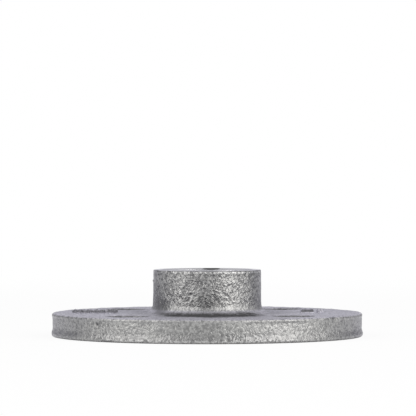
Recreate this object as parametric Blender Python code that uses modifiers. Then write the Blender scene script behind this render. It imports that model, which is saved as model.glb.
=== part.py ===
"""Threaded floor flange for 1 inch pipe: one iron casting, galvanised.

A round plate carries a short collar, bored for a 1-11.5 NPT taper thread. Four countersunk holes
take wood screws. The underside lies on z = 0 and the axis of the bore is Z. Lengths are metres.
"""

import math

import bmesh
import bpy

# Plate
PLATE_DIAMETER = 0.1143
PLATE_THICKNESS = 0.0086

# Rim of the plate: a bead at the foot, a shallow waist and a smaller bead at the top
FOOT_ROUNDING = 0.0010
FOOT_BEAD_HEIGHT = 0.0022
TOP_ROUNDING = 0.0008
TOP_BEAD_HEIGHT = 0.0007
WAIST_DEPTH = 0.00044
TOP_BEAD_INSET = 0.00026

# Collar
COLLAR_HEIGHT = 0.0158
COLLAR_WALL = 0.0031
COLLAR_DRAFT = math.radians(1.0)
COLLAR_FILLET = 0.0032
COLLAR_EDGE_ROUNDING = 0.0004

# Taper thread of the bore, 1-11.5 NPT
THREAD_PITCH = 0.0254 / 11.5
THREAD_PITCH_DIAMETER = 0.03146
THREAD_HEIGHT_PER_PITCH = 0.8
THREAD_TAPER = 1 / 16
MOUTH_CLEARANCE = 0.0005
UNDERSIDE_CHAMFER = 0.0010

# Countersunk screw holes
SCREW_HOLE_COUNT = 4
SCREW_HOLE_DIAMETER = 0.0078
COUNTERSINK_DIAMETER = 0.0162
COUNTERSINK_ANGLE = math.radians(82)
COUNTERSINK_TO_RIM = 0.0071
FIRST_HOLE_ANGLE = math.radians(45)

# Fineness of the round surfaces
FLANGE_STEPS = 96
HOLE_STEPS = 40
ARC_SEGMENTS = 4
CUTTER_OVERSHOOT = 0.002
MERGE_DISTANCE = 0.00001

# Places that follow from the sizes above
TOTAL_HEIGHT = PLATE_THICKNESS + COLLAR_HEIGHT
PLATE_RADIUS = PLATE_DIAMETER / 2
THREAD_HEIGHT = THREAD_HEIGHT_PER_PITCH * THREAD_PITCH
THREAD_CREST_RADIUS = (THREAD_PITCH_DIAMETER - THREAD_HEIGHT) / 2
THREAD_ROOT_RADIUS = (THREAD_PITCH_DIAMETER + THREAD_HEIGHT) / 2
COLLAR_TOP_RADIUS = THREAD_ROOT_RADIUS + COLLAR_WALL
MOUTH_RADIUS = THREAD_ROOT_RADIUS + MOUTH_CLEARANCE
HOLE_CIRCLE_RADIUS = PLATE_RADIUS - COUNTERSINK_TO_RIM - COUNTERSINK_DIAMETER / 2


def new_collection(name):
    collection = bpy.data.collections.new(name)
    bpy.context.scene.collection.children.link(collection)
    return collection


def arc(centre, radius, start, end, segments=ARC_SEGMENTS):
    """Points along an arc of the (radius, height) plane, from one angle to another, in degrees."""
    points = []
    for i in range(segments + 1):
        angle = math.radians(start + (end - start) * i / segments)
        points.append((centre[0] + radius * math.cos(angle), centre[1] + radius * math.sin(angle)))
    return points


def blend(start, end, segments=ARC_SEGMENTS):
    """Points between two places of a wall, along an S-curve that is upright at both of them."""
    points = []
    for i in range(1, segments):
        share = i / segments
        eased = (1 - math.cos(math.pi * share)) / 2
        points.append((start[0] + (end[0] - start[0]) * eased, start[1] + (end[1] - start[1]) * share))
    return points


def bore_radius(height):
    """Radius of the taper bore, measured to the crests of the thread."""
    return THREAD_CREST_RADIUS - (TOTAL_HEIGHT - height) * THREAD_TAPER / 2


def collar_radius(height):
    """Radius of the drafted outer wall of the collar."""
    return COLLAR_TOP_RADIUS + (TOTAL_HEIGHT - height) * math.tan(COLLAR_DRAFT)


def collar_outline():
    """Outer side of the collar, from its top edge down to the foot of its fillet."""
    draft = math.degrees(COLLAR_DRAFT)
    edge_height = TOTAL_HEIGHT - COLLAR_EDGE_ROUNDING
    edge_centre = (collar_radius(edge_height) - COLLAR_EDGE_ROUNDING, edge_height)
    fillet_height = PLATE_THICKNESS + COLLAR_FILLET
    fillet_centre = (collar_radius(fillet_height) + COLLAR_FILLET / math.cos(COLLAR_DRAFT), fillet_height)
    edge = arc(edge_centre, COLLAR_EDGE_ROUNDING, 90, draft)
    fillet = arc(fillet_centre, COLLAR_FILLET, 180 + draft, 270)
    return edge + fillet


def rim_outline():
    """Rim of the plate, from its top edge down to its underside."""
    top_bead_radius = PLATE_RADIUS - TOP_BEAD_INSET
    top_bead_height = PLATE_THICKNESS - TOP_ROUNDING
    waist_radius = PLATE_RADIUS - WAIST_DEPTH
    waist_top = (waist_radius, top_bead_height - TOP_BEAD_HEIGHT)
    waist_foot = (waist_radius, FOOT_ROUNDING + FOOT_BEAD_HEIGHT)
    top = arc((top_bead_radius - TOP_ROUNDING, top_bead_height), TOP_ROUNDING, 90, 0)
    foot = arc((PLATE_RADIUS - FOOT_ROUNDING, FOOT_ROUNDING), FOOT_ROUNDING, 0, -90)
    upper_side = blend(top[-1], waist_top, 2)
    lower_side = blend(waist_foot, foot[0])
    return top + upper_side + [waist_top, waist_foot] + lower_side + foot


def bore_outline():
    """Bore, from the chamfer in the underside up to the chamfered mouth in the collar's face."""
    mouth_depth = (MOUTH_RADIUS - THREAD_CREST_RADIUS) / (1 - THREAD_TAPER / 2)
    mouth_height = TOTAL_HEIGHT - mouth_depth
    return [
        (bore_radius(UNDERSIDE_CHAMFER) + UNDERSIDE_CHAMFER, 0),
        (bore_radius(UNDERSIDE_CHAMFER), UNDERSIDE_CHAMFER),
        (bore_radius(mouth_height), mouth_height),
        (MOUTH_RADIUS, TOTAL_HEIGHT),
    ]


def turned(name, outline, closed, steps, collection):
    """A solid of revolution about its own Z axis, from an outline that runs down its outer side."""
    mesh = bpy.data.meshes.new(name)
    profile = bmesh.new()
    points = [profile.verts.new((radius, 0, height)) for radius, height in outline]
    for upper, lower in zip(points, points[1:]):
        profile.edges.new((upper, lower))
    if closed:
        profile.edges.new((points[-1], points[0]))
    profile.to_mesh(mesh)
    profile.free()

    solid = bpy.data.objects.new(name, mesh)
    collection.objects.link(solid)
    screw = solid.modifiers.new("turn", "SCREW")
    screw.axis = "Z"
    screw.angle = math.tau
    screw.steps = steps
    screw.render_steps = steps
    screw.use_merge_vertices = True
    screw.merge_threshold = MERGE_DISTANCE
    screw.use_smooth_shade = True
    return solid


def screw_hole_cutter(index, collection):
    """Clearance hole with its countersink, longer than the plate is thick at both ends."""
    slope = math.tan(COUNTERSINK_ANGLE / 2)
    hole_radius = SCREW_HOLE_DIAMETER / 2
    sink_radius = COUNTERSINK_DIAMETER / 2
    sink_depth = (sink_radius - hole_radius) / slope
    above = PLATE_THICKNESS + CUTTER_OVERSHOOT
    outline = [
        (0, above),
        (sink_radius + CUTTER_OVERSHOOT * slope, above),
        (hole_radius, PLATE_THICKNESS - sink_depth),
        (hole_radius, -CUTTER_OVERSHOOT),
        (0, -CUTTER_OVERSHOOT),
    ]
    cutter = turned(f"screw_hole_cutter_{index + 1}", outline, False, HOLE_STEPS, collection)
    angle = FIRST_HOLE_ANGLE + math.tau * index / SCREW_HOLE_COUNT
    cutter.location = (HOLE_CIRCLE_RADIUS * math.cos(angle), HOLE_CIRCLE_RADIUS * math.sin(angle), 0)
    cutter.hide_render = True
    cutter.display_type = "WIRE"
    return cutter


def galvanised_iron():
    """Dull grey zinc over cast iron."""
    material = bpy.data.materials.new("galvanised_iron")
    material.use_nodes = True
    shader = material.node_tree.nodes["Principled BSDF"]
    shader.inputs["Base Color"].default_value = (0.40, 0.40, 0.41, 1)
    shader.inputs["Metallic"].default_value = 1.0
    shader.inputs["Roughness"].default_value = 0.42
    return material


def floor_flange(collection, cutters):
    """The casting: plate, rim, collar and bore turned in one outline, then the screw holes cut."""
    outline = collar_outline() + rim_outline() + bore_outline()
    flange = turned("floor_flange", outline, True, FLANGE_STEPS, collection)
    flange.data.materials.append(galvanised_iron())
    for index in range(SCREW_HOLE_COUNT):
        cut = flange.modifiers.new(f"screw_hole_{index + 1}", "BOOLEAN")
        cut.operation = "DIFFERENCE"
        cut.solver = "EXACT"
        cut.object = screw_hole_cutter(index, cutters)
    flange.modifiers.new("crisp_edges", "WEIGHTED_NORMAL")
    return flange


for old in list(bpy.data.objects):
    bpy.data.objects.remove(old, do_unlink=True)

floor_flange(new_collection("threaded_floor_flange"), new_collection("cutters"))
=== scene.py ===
import math

import bmesh
import bpy
from mathutils import Matrix, Vector, noise


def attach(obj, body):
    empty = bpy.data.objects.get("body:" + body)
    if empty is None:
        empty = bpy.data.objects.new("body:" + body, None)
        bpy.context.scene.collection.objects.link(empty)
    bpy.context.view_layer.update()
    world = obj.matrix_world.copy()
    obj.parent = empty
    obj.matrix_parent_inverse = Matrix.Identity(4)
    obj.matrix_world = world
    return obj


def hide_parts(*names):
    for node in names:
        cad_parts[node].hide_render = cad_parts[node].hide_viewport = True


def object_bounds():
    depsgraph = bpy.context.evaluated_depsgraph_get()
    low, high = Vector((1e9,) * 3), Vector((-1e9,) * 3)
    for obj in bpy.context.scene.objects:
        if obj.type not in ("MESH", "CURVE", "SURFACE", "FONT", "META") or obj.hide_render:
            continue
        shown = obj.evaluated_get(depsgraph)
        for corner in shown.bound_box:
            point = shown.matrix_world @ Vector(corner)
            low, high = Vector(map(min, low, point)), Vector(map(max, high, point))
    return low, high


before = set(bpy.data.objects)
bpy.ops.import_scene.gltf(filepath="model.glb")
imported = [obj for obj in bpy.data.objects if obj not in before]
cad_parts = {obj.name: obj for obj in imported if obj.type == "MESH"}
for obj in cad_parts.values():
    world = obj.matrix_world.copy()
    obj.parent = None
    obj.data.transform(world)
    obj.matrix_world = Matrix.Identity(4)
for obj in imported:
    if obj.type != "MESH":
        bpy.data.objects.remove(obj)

# The casting
# One piece of malleable iron, poured in a sand mould: a round plate with a short collar at its
# centre. The sand leaves an uneven skin, and the mould's edges leave a bead round the rim.
MM = 0.001
cad_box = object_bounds()
total_height = cad_box[1].z
plate_radius = cad_box[1].x
plate_thickness = 8.6 * MM
foot_rounding = 1.0 * MM
foot_bead_height = 2.2 * MM
top_rounding = 0.8 * MM
top_bead_height = 0.7 * MM
waist_depth = 0.44 * MM
top_bead_inset = 0.26 * MM
collar_radius = 19.7 * MM
collar_draft = math.radians(1)
collar_fillet = 3.2 * MM
collar_rounding = 0.4 * MM
mouth_radius = 17.1 * MM
cored_radius = 13.6 * MM
underside_radius = 15.1 * MM
casting_steps = 720


def run(start, end, spacing):
    """Points of the (radius, height) plane from start up to, but without, end."""
    count = max(1, round(math.dist(start, end) / spacing))
    shares = [i / count for i in range(count)]
    return [(start[0] + (end[0] - start[0]) * s, start[1] + (end[1] - start[1]) * s) for s in shares]


def arc(centre, radius, first, last, count):
    """Points on an arc of the (radius, height) plane, from one angle to another, in degrees."""
    angles = [math.radians(first + (last - first) * i / count) for i in range(count + 1)]
    return [(centre[0] + radius * math.cos(a), centre[1] + radius * math.sin(a)) for a in angles]


def ease(start, end, count):
    """Points between two places of a wall, on an S-curve that is upright at both."""
    points = []
    for i in range(1, count):
        share = i / count
        across = (1 - math.cos(math.pi * share)) / 2
        points.append((start[0] + (end[0] - start[0]) * across, start[1] + (end[1] - start[1]) * share))
    return points


def turn(outline, steps):
    """The closed solid that an outline sweeps round the Z axis. A point at radius 0 is a pole."""
    solid = bmesh.new()
    rings = []
    for radius, height in outline:
        if radius == 0:
            rings.append([solid.verts.new((0, 0, height))] * steps)
            continue
        angles = [math.tau * i / steps for i in range(steps)]
        places = [(radius * math.cos(a), radius * math.sin(a), height) for a in angles]
        rings.append([solid.verts.new(place) for place in places])
    for upper, lower in zip(rings, rings[1:] + rings[:1]):
        for i in range(steps):
            j = (i + 1) % steps
            corners = dict.fromkeys((upper[i], lower[i], lower[j], upper[j]))
            if len(corners) > 2:
                solid.faces.new(corners)
    solid.normal_update()
    return solid


def placed(name, solid):
    """The object that holds a finished bmesh."""
    mesh = bpy.data.meshes.new(name)
    solid.to_mesh(mesh)
    solid.free()
    piece = bpy.data.objects.new(name, mesh)
    bpy.context.scene.collection.objects.link(piece)
    return piece


edge_segments = 4
fillet_segments = 12
shoulder_segments = 5
foot_segments = 6
upper_blend_segments = 3
lower_blend_segments = 5
draft_slope = math.tan(collar_draft)
draft_degrees = math.degrees(collar_draft)
edge_height = total_height - collar_rounding
fillet_height = plate_thickness + collar_fillet
fillet_radius = collar_radius + (total_height - fillet_height) * draft_slope
edge_centre = (collar_radius - collar_rounding, edge_height)
top_edge = arc(edge_centre, collar_rounding, 90, draft_degrees, edge_segments)
fillet_centre = (fillet_radius + collar_fillet / math.cos(collar_draft), fillet_height)
fillet = arc(fillet_centre, collar_fillet, 180 + draft_degrees, 270, fillet_segments)
rim_top = plate_thickness - top_rounding
shoulder_centre = (plate_radius - top_bead_inset - top_rounding, rim_top)
rim_shoulder = arc(shoulder_centre, top_rounding, 90, 0, shoulder_segments)
waist_radius = plate_radius - waist_depth
waist_top = (waist_radius, rim_top - top_bead_height)
waist_foot = (waist_radius, foot_rounding + foot_bead_height)
foot_centre = (plate_radius - foot_rounding, foot_rounding)
rim_foot = arc(foot_centre, foot_rounding, 0, -90, foot_segments)
face_spacing = 0.7 * MM
skin_spacing = 0.45 * MM
plate_spacing = 1.0 * MM
flat_spacing = 4 * MM

outline = run((mouth_radius, total_height), top_edge[0], face_spacing)
outline += top_edge[:-1]
outline += run(top_edge[-1], fillet[0], skin_spacing)
outline += fillet[:-1]
outline += run(fillet[-1], rim_shoulder[0], plate_spacing)
outline += rim_shoulder + ease(rim_shoulder[-1], waist_top, upper_blend_segments)
outline += run(waist_top, waist_foot, skin_spacing) + [waist_foot]
outline += ease(waist_foot, rim_foot[0], lower_blend_segments) + rim_foot[:-1]
outline += run(rim_foot[-1], (underside_radius, 0), flat_spacing)
outline += [(underside_radius, 0), (cored_radius, underside_radius - cored_radius)]
outline += [(cored_radius, total_height - mouth_radius + cored_radius)]
blank = turn(outline, casting_steps)

# Dents and lumps of this very casting: angle round the axis in degrees, height, how wide, how deep.
# A depth below zero is a lump that stands proud.
flaws = (
    (218.8, 8.1 * MM, 0.9 * MM, -0.20 * MM),
    (223.9, 6.3 * MM, 0.8 * MM, 0.34 * MM),
    (228.8, 1.2 * MM, 1.2 * MM, -0.18 * MM),
    (290.0, 1.1 * MM, 0.9 * MM, -0.18 * MM),
    (305.2, 1.2 * MM, 1.0 * MM, 0.30 * MM),
    (320.4, 8.4 * MM, 1.4 * MM, 0.38 * MM),
    (177.5, 20.3 * MM, 0.6 * MM, -0.28 * MM),
    (245.7, 20.5 * MM, 0.9 * MM, -0.24 * MM),
    (245.0, 19.2 * MM, 0.6 * MM, 0.24 * MM),
    (250.0, 15.7 * MM, 0.7 * MM, 0.26 * MM),
    (273.9, 15.2 * MM, 0.6 * MM, 0.26 * MM),
)
coarse_length = 4.5 * MM
coarse_swing = 0.10 * MM
fine_length = 1.3 * MM
fine_swing = 0.07 * MM
fine_offset = Vector((7, 3, 1))
# The skin fades out over this height, so that the underside stays flat.
settle_height = 1.2 * MM
# A flaw of the rim stays within this distance of it and doesn't cross the plate.
flaw_reach = 0.8 * MM
# The collar's face is machined, and keeps no skin above this height.
machined_height = edge_height + collar_rounding * 0.9


def skin_height(place):
    """How far the sand-cast skin stands off its pattern at a place, in metres."""
    coarse = noise.noise(place / coarse_length) * coarse_swing
    fine = noise.noise(place / fine_length + fine_offset) * fine_swing
    height = coarse + fine
    radius = math.hypot(place.x, place.y)
    for degrees, level, width, depth in flaws:
        away = radius if level > plate_thickness else max(radius, plate_radius - flaw_reach)
        turned = math.radians(degrees)
        centre = Vector((away * math.cos(turned), away * math.sin(turned), level))
        height -= depth * math.exp(-((place - centre).length / width) ** 2 * 2)
    return height


for vertex in blank.verts:
    place = vertex.co
    machined = place.z > machined_height or math.hypot(place.x, place.y) < mouth_radius
    if not machined:
        hold = min(1, place.z / settle_height)
        vertex.co = place + vertex.normal * skin_height(place) * hold
casting = placed("flange_casting", blank)

# Raised marks on the plate
# The mould also casts small marks that stand up from the plate: three ranks of plain ribs, worn
# uneven, on one side of the collar, and two plain blocks side by side on the other.
mark_sink = 0.6 * MM
mark_edge = 0.25 * MM
rib_size = (0.8 * MM, 1.5 * MM, 1.35 * MM)
rib_pitch = 1.58 * MM
rib_mean_height = 0.86
rib_height_swing = 0.14
rib_turn_swing = 9
wear_step = 2.4
# How many ribs each rank has, and how far across the plate it lies.
rib_ranks = ((10, -1.8 * MM), (11, 1.4 * MM), (10, 4.6 * MM))
rib_row_radius = 41.2 * MM
block_size = (6.0 * MM, 8.0 * MM, 1.5 * MM)
block_place = (36.8 * MM, 0.6 * MM)
small_block_size = (2.2 * MM, 2.4 * MM, 1.4 * MM)
small_block_place = (41.4 * MM, -1.8 * MM)


def raised_mark(marks, size, place, taper=0.95, edge=mark_edge, rounds=2, turn_round=0, turn_about=0):
    """Adds a block with softened upper edges to the marks, turned about itself and round the collar."""
    mark = bmesh.new()
    bmesh.ops.create_cube(mark, size=1)
    for corner in mark.verts:
        if corner.co.z > 0:
            corner.co.xy *= taper
    rise = size[2] + mark_sink
    mark.transform(Matrix.Diagonal((size[0], size[1], rise, 1)))
    upper_edges = [e for e in mark.edges if all(v.co.z > 0 for v in e.verts)]
    bmesh.ops.bevel(mark, geom=upper_edges, offset=edge, segments=rounds, profile=0.5, affect="EDGES")
    mark.transform(Matrix.Rotation(math.radians(turn_about), 4, "Z"))
    mark.transform(Matrix.Translation((place[0], place[1], plate_thickness - mark_sink + rise / 2)))
    mark.transform(Matrix.Rotation(math.radians(turn_round), 4, "Z"))
    mark_mesh = bpy.data.meshes.new("raised_mark")
    mark.to_mesh(mark_mesh)
    marks.from_mesh(mark_mesh)
    mark.free()


marks = bmesh.new()
for count, across in rib_ranks:
    for i in range(count):
        along = (i - (count - 1) / 2) * rib_pitch
        worn = math.sin(i * wear_step + across / rib_pitch)
        size = (rib_size[0], rib_size[1], rib_size[2] * (rib_mean_height + worn * rib_height_swing))
        rib_place = (rib_row_radius + along, across)
        raised_mark(marks, size, rib_place, turn_round=180, turn_about=worn * rib_turn_swing)
raised_mark(marks, block_size, block_place, taper=0.75, edge=1.1 * MM, rounds=5)
raised_mark(marks, small_block_size, small_block_place, edge=0.5 * MM, rounds=4, turn_about=6)
raised_marks = placed("raised_marks", marks)

# Thread and screw holes
# A taper tap cuts the 1-11.5 NPT thread, right-handed, from the collar's face right through, and a
# countersink cuts the four screw holes. What is cut keeps crisp edges.
inch = 25.4 * MM
thread_pitch = inch / 11.5
thread_height = 0.8 * thread_pitch
# The taper is 1 in 16 on the diameter, so half of that on the radius.
thread_taper = 1 / 32
pitch_diameter = 31.46 * MM
crest_radius = (pitch_diameter - thread_height) / 2
thread_steps = 160
# Rows of points in one turn: the share of the pitch, and the share of the groove's depth.
thread_rows = ((0.00, 0), (0.12, 0), (0.50, 1), (0.60, 1))
thread_start = 0.45
lead_in_turns = 1.5
spare_turns = 3
foot_tip_turns = 4
hole_count = 4
hole_radius = 3.9 * MM
sink_radius = 8.1 * MM
sink_slope = math.tan(math.radians(82) / 2)
sink_to_rim = 7.1 * MM
hole_circle = plate_radius - sink_to_rim - sink_radius
hole_steps = 96
sink_spacing = 0.8 * MM
shank_spacing = 1.2 * MM
overshoot = 2 * MM
crisp_angle = math.radians(32)


def tap():
    """The taper tap as a solid: rows of points that climb with the thread, and a fan at each end."""
    solid = bmesh.new()
    turns = math.ceil(total_height / thread_pitch) + spare_turns
    rows = []
    for turn_index in range(turns):
        for share, groove in thread_rows:
            row = []
            for i in range(thread_steps):
                climb = turn_index - lead_in_turns + share + i / thread_steps + thread_start
                height = climb * thread_pitch
                radius = crest_radius + (height - total_height) * thread_taper + groove * thread_height
                angle = math.tau * i / thread_steps
                row.append(solid.verts.new((radius * math.cos(angle), radius * math.sin(angle), height)))
            rows.append(row)
    per_turn = len(thread_rows)
    for lower, upper in zip(rows, rows[1:]):
        for i in range(thread_steps - 1):
            solid.faces.new((lower[i], lower[i + 1], upper[i + 1], upper[i]))
    for j in range(len(rows) - per_turn - 1):
        ends = (rows[j][-1], rows[j + per_turn][0], rows[j + per_turn + 1][0], rows[j + 1][-1])
        solid.faces.new(ends)
    top_loop = rows[-1] + [row[-1] for row in reversed(rows[-1 - per_turn:-1])]
    foot_loop = rows[0] + [row[0] for row in reversed(rows[1:per_turn + 1])]
    for loop, tip_turns in ((top_loop, turns), (foot_loop, -foot_tip_turns)):
        tip = solid.verts.new((0, 0, tip_turns * thread_pitch))
        for first, second in zip(loop, loop[1:] + loop[:1]):
            solid.faces.new((first, second, tip))
    bmesh.ops.recalc_face_normals(solid, faces=solid.faces)
    return solid


tools = tap()
sink_depth = (sink_radius - hole_radius) / sink_slope
cutter_top = plate_thickness + overshoot
sink_edge = (sink_radius + overshoot * sink_slope, cutter_top)
sink_foot = (hole_radius, plate_thickness - sink_depth)
shank_foot = (hole_radius, -overshoot)
screw_outline = [(0, cutter_top), sink_edge]
screw_outline += run(sink_edge, sink_foot, sink_spacing)[1:]
screw_outline += run(sink_foot, shank_foot, shank_spacing)
screw_outline += [shank_foot, (0, -overshoot)]
for i in range(hole_count):
    angle = math.tau * (i + 0.5) / hole_count
    countersink = turn(screw_outline, hole_steps)
    place = (hole_circle * math.cos(angle), hole_circle * math.sin(angle), 0)
    countersink.transform(Matrix.Translation(place))
    countersink_mesh = bpy.data.meshes.new("countersink")
    countersink.to_mesh(countersink_mesh)
    tools.from_mesh(countersink_mesh)
    countersink.free()
cutting_tools = placed("cutting_tools", tools)

for operation, other in (("UNION", raised_marks), ("DIFFERENCE", cutting_tools)):
    step = casting.modifiers.new(operation.lower(), "BOOLEAN")
    step.operation = operation
    step.solver = "EXACT"
    step.object = other
evaluated = casting.evaluated_get(bpy.context.evaluated_depsgraph_get())
casting.data = bpy.data.meshes.new_from_object(evaluated)
casting.modifiers.clear()
for tool in (raised_marks, cutting_tools):
    bpy.data.objects.remove(tool, do_unlink=True)
casting.data.shade_smooth()
casting.data.set_sharp_from_angle(angle=crisp_angle)

# Zinc
# The finished casting is dipped in molten zinc, which sets as a dull grey coat. It follows the sand
# skin, stays darker in the hollows and rubs bright on the edges. Painted highlights, painted shade and a
# painted reflection are laid on it too.


class Wire:
    """A socket of a node tree. Sums and products of wires add their Math nodes to the tree."""

    def __init__(self, tree, socket=None):
        self.tree = tree
        self.socket = socket

    def add(self, kind, settings, inputs, output=0):
        """Any node: its settings are set first, then the values or wires of its inputs."""
        node = self.tree.nodes.new(kind)
        for name, value in settings.items():
            setattr(node, name, value)
        for name, value in inputs.items():
            if isinstance(value, Wire):
                self.tree.links.new(value.socket, node.inputs[name])
            else:
                node.inputs[name].default_value = value
        return Wire(self.tree, node.outputs[output] if len(node.outputs) else None)

    def outlet(self, name):
        """Another output of the node that this wire comes from."""
        return Wire(self.tree, self.socket.node.outputs[name])

    def math(self, operation, *values):
        return self.add("ShaderNodeMath", {"operation": operation}, dict(enumerate(values)))

    def vector(self, operation, *values, output=0):
        settings = {"operation": operation}
        return self.add("ShaderNodeVectorMath", settings, dict(enumerate(values)), output)

    def __add__(self, other):
        return self.math("ADD", self, other)

    def __sub__(self, other):
        return self.math("SUBTRACT", self, other)

    def __rsub__(self, other):
        return self.math("SUBTRACT", other, self)

    def __mul__(self, other):
        return self.math("MULTIPLY", self, other)

    __radd__ = __add__
    __rmul__ = __mul__

    def ramp(self, low, high):
        """0 below low and 1 above high, with a smooth rise between. low may be the larger one."""
        if low > high:
            return 1 - self.ramp(high, low)
        settings = {"interpolation_type": "SMOOTHSTEP"}
        inputs = {"Value": self, "From Min": low, "From Max": high}
        return self.add("ShaderNodeMapRange", settings, inputs)

    def mix(self, first, second):
        """From one colour to another as this wire goes from 0 to 1."""
        inputs = {0: self, 6: first, 7: second}
        return self.add("ShaderNodeMix", {"data_type": "RGBA"}, inputs, output=2)


def new_tree(owner):
    owner.use_nodes = True
    owner.node_tree.nodes.clear()
    return Wire(owner.node_tree)


zinc_light = (0.425, 0.425, 0.42, 1)
zinc_mid = (0.355, 0.355, 0.355, 1)
# The dark of the coat, which also serves for the painted shade.
zinc_dark_and_shade = (0.10, 0.10, 0.105, 1)
zinc_pale_sheen = (0.68, 0.67, 0.745, 1)
zinc_rubbed_and_highlight = (0.66, 0.66, 0.66, 1)
bare_iron = (0.70, 0.70, 0.72, 1)
shade_and_mottle_dark = (0.07, 0.07, 0.073, 1)
smudge_dark = (0.12, 0.12, 0.12, 1)
zinc_glint = (0.95, 0.94, 1.0, 1)
zinc_roughness = 0.36
skin_depth = 0.36 * MM
# Dull spots of the coat: where, how far they reach, how strong.
stains = (
    ((-17.0 * MM, -10.5 * MM, 11.0 * MM), 5.5 * MM, 0.5),
    ((-1.2 * MM, -19.8 * MM, 12.3 * MM), 3.8 * MM, 0.4),
    ((11.6 * MM, -18.6 * MM, 10.1 * MM), 2.6 * MM, 0.5),
    ((-19.2 * MM, -5.5 * MM, 15.5 * MM), 7.0 * MM, 0.3),
    ((-40.8 * MM, -39.2 * MM, 6.3 * MM), 1.0 * MM, 0.8),
    ((43.7 * MM, -36.1 * MM, 8.8 * MM), 1.6 * MM, 0.7),
)
stain_core = 0.3
thin_corner_shade = 0.20
thick_corner_shade = 0.60
corner_shade_breakup = 0.12
front_plate_shade_strength = 0.21
# A small dark smudge at the far side of the bore's mouth.
smudge_place = (2.7 * MM, 16.9 * MM, total_height - 0.25 * MM)
smudge_size = (4.2 * MM, 1.6 * MM, 0.45 * MM)

zinc = bpy.data.materials.new("hot_dip_zinc")
graph = new_tree(zinc)
place = graph.add("ShaderNodeTexCoord", {}, {}, output="Object")
parts = graph.add("ShaderNodeSeparateXYZ", {}, {0: place})
x, y, z = (parts.outlet(axis) for axis in "XYZ")
aside = graph.math("ABSOLUTE", x)
flat_place = graph.add("ShaderNodeCombineXYZ", {}, {"X": x, "Y": y})
radius = graph.vector("LENGTH", flat_place, output="Value")


def above(level, low, high):
    """0 to 1 as the height goes from low to high, both in millimetres over a level."""
    return z.ramp(level + low * MM, level + high * MM)


def grain(scale, detail, roughness, distortion):
    """Noise through the metal. Scale is how many bumps there are in a metre."""
    inputs = {"Vector": place, "Scale": scale, "Detail": detail, "Roughness": roughness}
    inputs["Distortion"] = distortion
    return graph.add("ShaderNodeTexNoise", {}, inputs)


crumple = grain(1050, detail=1.0, roughness=0.4, distortion=0.8)
crust = grain(400, detail=1.0, roughness=0.5, distortion=0.6)
blotch = grain(210, detail=2.0, roughness=0.6, distortion=0.8)
cloud = grain(60, detail=3.0, roughness=0.6, distortion=0.4)
tone = cloud.ramp(0.3, 0.7)

# Where on the casting: the collar's wall, its fillet, what is machined, the plate's top and shoulder.
on_collar = radius.ramp(23 * MM, 20.5 * MM) * above(plate_thickness, 1.4, 3.8)
on_fillet = radius.ramp(24 * MM, 23 * MM) * above(plate_thickness, 4.6, 3.2)
in_bore = radius.ramp(mouth_radius + 0.3 * MM, mouth_radius)
on_face = above(total_height, -0.05, -0.01)
cut = in_bore + on_face * (1 - in_bore)
above_fillet = above(plate_thickness, 0.8, 1.8) * radius.ramp(28 * MM, 26 * MM)
on_plate_top = above(plate_thickness, -0.5, -0.1) * (1 - above_fillet)
at_rim = radius.ramp(plate_radius - 1.6 * MM, plate_radius - 0.9 * MM)
shoulder = at_rim * above(plate_thickness, -1.1, -0.5)
in_front = y.ramp(-38 * MM, -50 * MM)

# The sand's texture, coarsest on the collar. It swings about zero, so that no zone stands proud.
roughcast = 0.66 + on_collar * 0.42 + on_plate_top * 0.10 - on_fillet * 0.10
relief = (crumple - 0.5 + (crust - 0.5) * 0.5) * roughcast * (1 - cut * 0.92)
hollow = crumple.ramp(0.60, 0.34) * (0.50 + on_collar * 0.18 - on_plate_top * 0.10 - on_fillet * 0.15)

# Painted shade in the corner at the collar's foot, thickest in front and thin round the rest of it, more
# painted shade over the front of the plate, and random mottle over the plate's top.
foot_reach = radius + aside * 0.3 + (blotch - 0.5) * 9 * MM
corner = foot_reach.ramp(48 * MM, 30 * MM) * above(plate_thickness, 1.6, 0.2)
corner = corner * above(plate_thickness, -0.6, -0.4)
thick_front_shade = y.ramp(-7 * MM, -14 * MM) * (aside + (blotch - 0.5) * 6 * MM).ramp(21 * MM, 14 * MM)
front_plate_shade = y.ramp(-18 * MM, -27 * MM) * aside.ramp(36 * MM, 16 * MM)
mottle = blotch.ramp(0.62, 0.38) * 0.09 + crust.ramp(0.62, 0.38) * 0.07
shade_and_mottle = corner * (thin_corner_shade + thick_front_shade * (thick_corner_shade + crumple.ramp(0.62, 0.38) * corner_shade_breakup))
shade_and_mottle = graph.math("MINIMUM", shade_and_mottle + on_plate_top * (mottle + front_plate_shade * front_plate_shade_strength), 1.0)

# The four countersinks, read as one because the pattern is folded at both axes.
folded = graph.add("ShaderNodeCombineXYZ", {}, {"X": aside, "Y": graph.math("ABSOLUTE", y)})
hole_place = (hole_circle * math.sqrt(0.5), hole_circle * math.sqrt(0.5), 0)
from_hole = graph.vector("DISTANCE", folded, hole_place, output="Value")
in_sink = from_hole.ramp(sink_radius + 0.4 * MM, sink_radius)
in_sink = in_sink * above(plate_thickness, 0.1, -0.3) * above(0, 0.1, 0.4)

# Painted shade on the sides of the raised marks: on every side of the ribs, and on the front only of the
# two blocks. Their tops share the plate's coat.
mark_side_shade = radius.ramp(29 * MM, 31 * MM) * above(plate_thickness, 0.05, 0.4)
mark_side_shade = mark_side_shade * above(plate_thickness, 1.3, 1.0)
mark_side_shade = mark_side_shade * graph.math("MAXIMUM", x.ramp(5 * MM, 0), y.ramp(-1.2 * MM, -1.8 * MM))
mark_shade = 0.68 + x.ramp(30 * MM, 32 * MM) * 0.12 - x.ramp(39.8 * MM, 40.0 * MM) * 0.5

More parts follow.
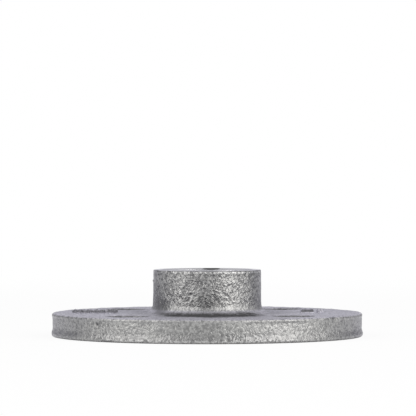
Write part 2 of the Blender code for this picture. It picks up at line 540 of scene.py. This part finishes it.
# Edges rubbed bright, with painted highlights on the collar's top edge, the rim's shoulder and the foot
# in front, and painted shade in lines beside them.
foot_highlight = above(0, 1.5, 1.1) * above(0, 0.3, 0.6) * in_front
collar_edge = above(total_height, -1.1, -0.7)
collar_lip = above(total_height, -0.40, -0.20) * radius.ramp(19.1 * MM, 19.3 * MM)
edge = (collar_edge - collar_lip) * on_collar * 0.75 + shoulder * 0.2 + foot_highlight * 0.5
# Painted shade: the foot bead in front, the collar's lip, and a band under the lip.
front_bead_shade = above(0, 4.0, 3.1) * above(0, 0.9, 1.5) * in_front
under_lip_shade = above(total_height, -2.3, -1.6) * above(total_height, -0.7, -1.0) * on_collar
painted_shade_lines = front_bead_shade * 0.22 + collar_lip * crust.ramp(0.7, 0.3) * 0.7 + under_lip_shade * 0.22

# The colours, from the coat up to what lies on it, with painted reflection, painted shade and painted
# highlights laid in among them.
colour = tone.mix(zinc_mid, zinc_light)
# Painted reflection: the plate's top is painted paler and bluish for the bright surroundings it mirrors
# at a grazing angle.
colour = (on_plate_top * 0.9).mix(colour, zinc_pale_sheen)
# Painted shade in the countersinks' recesses, broken up by the crust noise.
colour = (in_sink * (0.32 + crust.ramp(0.38, 0.62) * 0.2)).mix(colour, zinc_dark_and_shade)
# Painted shade on the sides of the raised marks.
colour = (mark_side_shade * mark_shade).mix(colour, zinc_dark_and_shade)
# Painted shade at the collar's foot and over the plate's front, with random mottle.
colour = shade_and_mottle.mix(colour, shade_and_mottle_dark)
colour = hollow.mix(colour, zinc_dark_and_shade)
# Rubbed edges, with painted highlights on them.
colour = (edge * crumple.ramp(0.36, 0.6) * 0.8).mix(colour, zinc_rubbed_and_highlight)
# Painted shade lines.
colour = painted_shade_lines.mix(colour, zinc_dark_and_shade)
for centre, reach, strength in stains:
    from_stain = graph.vector("DISTANCE", place, centre, output="Value")
    colour = (from_stain.ramp(reach, reach * stain_core) * strength).mix(colour, zinc_dark_and_shade)
colour = cut.mix(colour, bare_iron)
from_smudge = graph.vector("DIVIDE", graph.vector("SUBTRACT", place, smudge_place), smudge_size)
dark_smudge = graph.vector("LENGTH", from_smudge, output="Value").ramp(1.0, 0.7)
colour = dark_smudge.mix(colour, smudge_dark)

dullness = tone * 0.05 + on_fillet * 0.05 + shoulder * 0.1 + on_plate_top * 0.2
bump = graph.add("ShaderNodeBump", {}, {"Strength": 1.0, "Distance": skin_depth, "Height": relief})
# The painted shade and the mottle also take metal out of the coat.
shader = graph.add(
    "ShaderNodeBsdfPrincipled",
    {},
    {
        "Base Color": colour,
        "Metallic": 1 - shade_and_mottle,
        "Roughness": zinc_roughness + dullness,
        "Specular IOR Level": 0.0,
        "Specular Tint": zinc_glint,
        "Normal": bump,
    },
)
graph.add("ShaderNodeOutputMaterial", {}, {"Surface": shader})
casting.data.materials.clear()
casting.data.materials.append(zinc)
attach(casting, "root")
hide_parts("floor_flange")

# The studio
# A broad white floor under a white horizon with a darker ceiling, a soft box on each side in front,
# and a long lens that looks across the plate from just above it.
floor_half = 12.0
# The floor lies a hair below the flange, because two faces in one plane would streak.
floor_gap = 0.05 * MM
shade_inner = 56.5 * MM
shade_outer = 59.0 * MM
horizon_near = 0.15
horizon_far = 0.70
near_whiteness = 0.90
mirrored_whiteness = 0.9
paper_colour = (0.92, 0.92, 0.92, 1)
white = (1, 1, 1, 1)
sheet = bmesh.new()
bmesh.ops.create_grid(sheet, x_segments=1, y_segments=1, size=floor_half)
floor = placed("studio_floor", sheet)
floor.location.z = -floor_gap
paper = bpy.data.materials.new("white_paper")
graph = new_tree(paper)
place = graph.add("ShaderNodeTexCoord", {}, {}, output="Object")
from_middle = graph.vector("LENGTH", place, output="Value")
path = graph.add("ShaderNodeLightPath", {}, {})
camera_ray = path.outlet("Is Camera Ray")
glossy_ray = path.outlet("Is Glossy Ray")
through_ray = path.outlet("Is Transmission Ray")
seen = camera_ray * (near_whiteness + from_middle.ramp(horizon_near, horizon_far) * (1 - near_whiteness))
mirrored = (glossy_ray + through_ray) * from_middle.ramp(shade_inner, shade_outer) * mirrored_whiteness
matt = graph.add("ShaderNodeBsdfDiffuse", {}, {"Color": paper_colour})
glow = graph.add("ShaderNodeEmission", {}, {"Color": white, "Strength": 1.0})
surface = graph.add("ShaderNodeMixShader", {}, {0: seen + mirrored, 1: matt, 2: glow})
graph.add("ShaderNodeOutputMaterial", {}, {"Surface": surface})
floor.data.materials.append(paper)

near_wall = (0.475, 0.475, 0.47, 1)
far_wall = (0.42, 0.42, 0.45, 1)
upper_wall = (0.62, 0.62, 0.64, 1)
ceiling = (0.45, 0.45, 0.46, 1)
world = bpy.data.worlds.new("studio")
bpy.context.scene.world = world
graph = new_tree(world)
direction = graph.add("ShaderNodeTexCoord", {}, {}, output="Generated")
parts = graph.add("ShaderNodeSeparateXYZ", {}, {0: direction})
behind = parts.outlet("Y")
upward = parts.outlet("Z")
wall = behind.ramp(-0.2, 0.6).mix(near_wall, far_wall)
wall = behind.ramp(0.88, 0.99).mix(wall, white)
sky = upward.ramp(0.20, 0.60).mix(wall, upper_wall)
sky = upward.ramp(0.85, 0.98).mix(sky, ceiling)
background = graph.add("ShaderNodeBackground", {}, {"Color": sky, "Strength": 1.0})
graph.add("ShaderNodeOutputWorld", {}, {"Surface": background})

lamp_colour = (1.0, 0.985, 0.955)
lamp_distance = 1.3


def soft_box(name, azimuth, elevation, size, power):
    """A broad lamp that faces the flange. Its azimuth counts from the camera's side, right positive."""
    data = bpy.data.lights.new(name, "AREA")
    data.shape = "RECTANGLE"
    data.size = size[0]
    data.size_y = size[1]
    data.energy = power
    data.color = lamp_colour
    lamp = bpy.data.objects.new(name, data)
    bpy.context.scene.collection.objects.link(lamp)
    a = math.radians(azimuth)
    e = math.radians(elevation)
    away = Vector((math.sin(a) * math.cos(e), -math.cos(a) * math.cos(e), math.sin(e)))
    lamp.location = away * lamp_distance
    lamp.rotation_mode = "QUATERNION"
    lamp.rotation_quaternion = away.to_track_quat("Z", "Y")


soft_box("left_soft_box", azimuth=-57, elevation=28, size=(1.1, 1.2), power=7.8)
soft_box("right_soft_box", azimuth=53, elevation=23, size=(1.2, 1.2), power=10.8)

camera_distance = 1.225
camera_height = 63.6 * MM
camera_turn = math.radians(-2.5)
aim_height = 47.0 * MM
aim_aside = 0.3 * MM
camera_data = bpy.data.cameras.new("camera")
camera_data.lens = 288.8
camera_data.sensor_width = 36
camera_data.clip_start = 0.05
camera_data.clip_end = 50
camera = bpy.data.objects.new("camera", camera_data)
bpy.context.scene.collection.objects.link(camera)
toward = Vector((math.sin(camera_turn), -math.cos(camera_turn), 0))
sideways = Vector((math.cos(camera_turn), math.sin(camera_turn), 0))
camera.location = toward * camera_distance + sideways * aim_aside + Vector((0, 0, camera_height))
aim = sideways * aim_aside + Vector((0, 0, aim_height))
camera.rotation_mode = "QUATERNION"
camera.rotation_quaternion = (aim - camera.location).to_track_quat("-Z", "Y")
bpy.context.scene.camera = camera
bpy.context.scene.view_settings.view_transform = "Standard"
